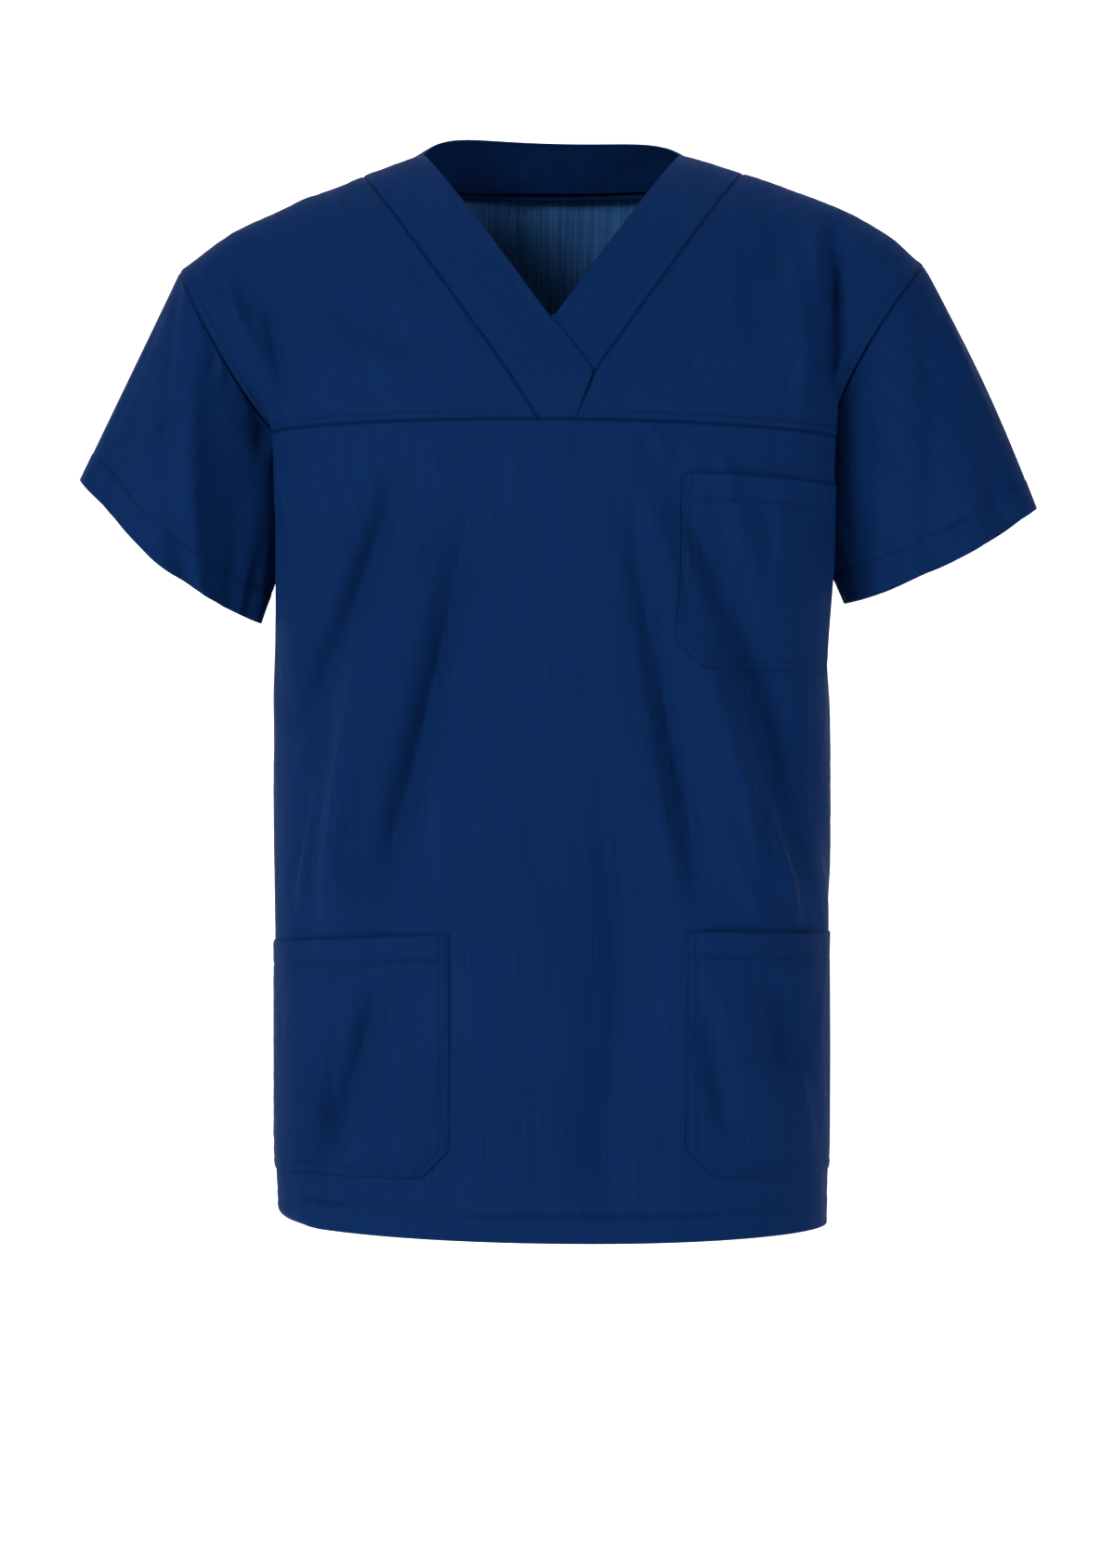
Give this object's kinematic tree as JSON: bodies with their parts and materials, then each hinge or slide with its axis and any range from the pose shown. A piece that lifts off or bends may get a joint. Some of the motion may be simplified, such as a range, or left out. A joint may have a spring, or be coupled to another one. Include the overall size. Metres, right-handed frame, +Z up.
{
  "type": "medical scrub top",
  "caption": "Short-sleeved medical scrub top in navy poplin, with a lapped V neck band, chest yokes, a chest pocket and patch pockets at the hem, in its worn hollow shape.",
  "frame": {"origin": "midway between the two shoulder neck points, where the wearer's shoulders carry the cloth", "axes": "+Z up, the front faces -Y, +X towards the wearer's left arm"},
  "size_m": [0.6688, 0.239, 0.7683],
  "materials": {
    "front_yoke_right": "navy poplin weave with a slight sheen",
    "front_yoke_left": "navy poplin weave with a slight sheen",
    "front_panel": "navy poplin weave with a slight sheen",
    "back_panel": "navy poplin weave with a slight sheen",
    "sleeve_right": "navy poplin weave with a slight sheen",
    "sleeve_left": "navy poplin weave with a slight sheen",
    "neck_band_right": "navy poplin weave with a slight sheen",
    "neck_band_left": "navy poplin weave with a slight sheen",
    "neck_band_back": "navy poplin weave with a slight sheen",
    "chest_pocket": "navy poplin weave with a slight sheen",
    "lower_pocket_right": "navy poplin weave with a slight sheen",
    "lower_pocket_left": "navy poplin weave with a slight sheen"
  },
  "bodies": {
    "root": {"front_yoke_right": "front_yoke_right", "front_yoke_left": "front_yoke_left", "front_panel": "front_panel", "back_panel": "back_panel", "sleeve_right": "sleeve_right", "sleeve_left": "sleeve_left", "neck_band_right": "neck_band_right", "neck_band_left": "neck_band_left", "neck_band_back": "neck_band_back", "chest_pocket": "chest_pocket", "lower_pocket_right": "lower_pocket_right", "lower_pocket_left": "lower_pocket_left"}
  },
  "joints": []
}
